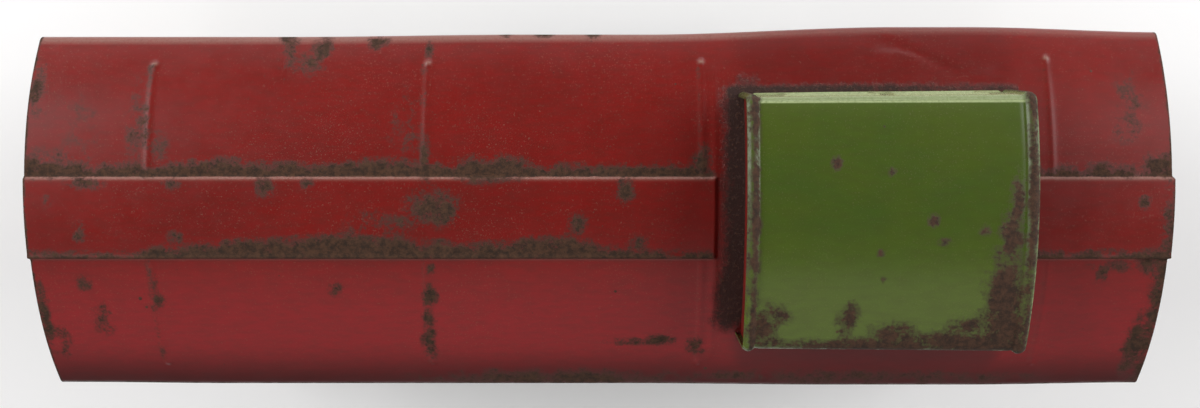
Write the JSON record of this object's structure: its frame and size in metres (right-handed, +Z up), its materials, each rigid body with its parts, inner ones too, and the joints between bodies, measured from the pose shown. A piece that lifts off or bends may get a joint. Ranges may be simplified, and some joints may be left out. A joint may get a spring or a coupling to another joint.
{
  "type": "toy caboose",
  "caption": "Pressed-steel toy railway caboose with an arched ribbed roof, cupola, end platforms, two swivelling trucks and hook couplers.",
  "frame": {"origin": "on the surface the car stands on, at the bottom of its wheel flanges, under the middle of the car", "axes": "+X along the car towards the end with the cupola (its front), +Y across it to its left, +Z up"},
  "size_m": [0.324, 0.098, 0.1256],
  "materials": {
    "roof_red": "gloss enamel, worn and rusted",
    "cupola_green": "gloss enamel, worn and rusted",
    "body_green": "gloss enamel, worn",
    "door_red": "gloss enamel, worn",
    "frame_black": "satin enamel, worn",
    "brass": "tarnished",
    "nickel": "dull nickel plate",
    "steel": "bright steel, lightly rusted",
    "celluloid": "thin yellowed clear sheet"
  },
  "bodies": {
    "car": {"roof": "roof_red", "cupola_shell": "cupola_green", "cupola_end_front": "roof_red", "cupola_end_rear": "roof_red", "body_side_left": "body_green", "body_side_right": "body_green", "body_end_front": "body_green", "body_end_rear": "body_green", "door_front": "door_red", "door_rear": "door_red", "window_frame_left_front": "brass", "window_frame_left_rear": "brass", "window_frame_right_front": "brass", "window_frame_right_rear": "brass", "glazing_left": "celluloid", "glazing_right": "celluloid", "roof_bow_front": "steel", "roof_bow_rear": "steel", "underframe": "frame_black", "step_front_left": "brass", "step_front_right": "brass", "step_rear_left": "brass", "step_rear_right": "brass", "end_railing_front": "brass", "end_railing_rear": "brass", "ladder_front": "brass", "ladder_rear": "brass", "brake_staff_front": "brass", "brake_staff_rear": "brass", "king_pin_front": "steel", "king_pin_rear": "steel", "truck_spacer_front": "steel", "truck_spacer_rear": "steel"},
    "truck_front": {"truck_bolster_front": "frame_black", "truck_side_front_left": "frame_black", "truck_side_front_right": "frame_black", "coupler_pin_front": "steel"},
    "wheelset_front_outer": {"axle_front_outer": "steel", "wheel_front_outer_left": "nickel", "wheel_front_outer_right": "nickel"},
    "wheelset_front_inner": {"axle_front_inner": "steel", "wheel_front_inner_left": "nickel", "wheel_front_inner_right": "nickel"},
    "coupler_front": {"coupler_front": "nickel"},
    "truck_rear": {"truck_bolster_rear": "frame_black", "truck_side_rear_left": "frame_black", "truck_side_rear_right": "frame_black", "coupler_pin_rear": "steel"},
    "wheelset_rear_outer": {"axle_rear_outer": "steel", "wheel_rear_outer_left": "nickel", "wheel_rear_outer_right": "nickel"},
    "wheelset_rear_inner": {"axle_rear_inner": "steel", "wheel_rear_inner_left": "nickel", "wheel_rear_inner_right": "nickel"},
    "coupler_rear": {"coupler_rear": "nickel"},
    "brake_wheel_front": {"brake_wheel_front": "frame_black"},
    "brake_wheel_rear": {"brake_wheel_rear": "frame_black"}
  },
  "joints": [
    {"name": "truck_front_swivel", "type": "hinge", "parent": "car", "child": "truck_front", "pos_m": [0.088, 0, 0.03], "axis": [0, 0, 1], "range_deg": [-15, 15]},
    {"name": "wheelset_front_outer_roll", "type": "hinge", "parent": "truck_front", "child": "wheelset_front_outer", "pos_m": [0.113, 0, 0.01586], "axis": [0, 1, 0], "continuous": true},
    {"name": "wheelset_front_inner_roll", "type": "hinge", "parent": "truck_front", "child": "wheelset_front_inner", "pos_m": [0.063, 0, 0.01586], "axis": [0, 1, 0], "continuous": true},
    {"name": "coupler_front_swing", "type": "hinge", "parent": "truck_front", "child": "coupler_front", "pos_m": [0.132, 0, 0.029], "axis": [0, 0, 1], "range_deg": [-20, 20]},
    {"name": "truck_rear_swivel", "type": "hinge", "parent": "car", "child": "truck_rear", "pos_m": [-0.088, 0, 0.03], "axis": [0, 0, 1], "range_deg": [-15, 15]},
    {"name": "wheelset_rear_outer_roll", "type": "hinge", "parent": "truck_rear", "child": "wheelset_rear_outer", "pos_m": [-0.113, 0, 0.01586], "axis": [0, 1, 0], "continuous": true},
    {"name": "wheelset_rear_inner_roll", "type": "hinge", "parent": "truck_rear", "child": "wheelset_rear_inner", "pos_m": [-0.063, 0, 0.01586], "axis": [0, 1, 0], "continuous": true},
    {"name": "coupler_rear_swing", "type": "hinge", "parent": "truck_rear", "child": "coupler_rear", "pos_m": [-0.132, 0, 0.029], "axis": [0, 0, 1], "range_deg": [-20, 20]},
    {"name": "brake_wheel_front_turn", "type": "hinge", "parent": "car", "child": "brake_wheel_front", "pos_m": [0.132, -0.027, 0.0713], "axis": [0, 0, 1], "continuous": true},
    {"name": "brake_wheel_rear_turn", "type": "hinge", "parent": "car", "child": "brake_wheel_rear", "pos_m": [-0.132, 0.027, 0.0713], "axis": [0, 0, 1], "continuous": true}
  ]
}
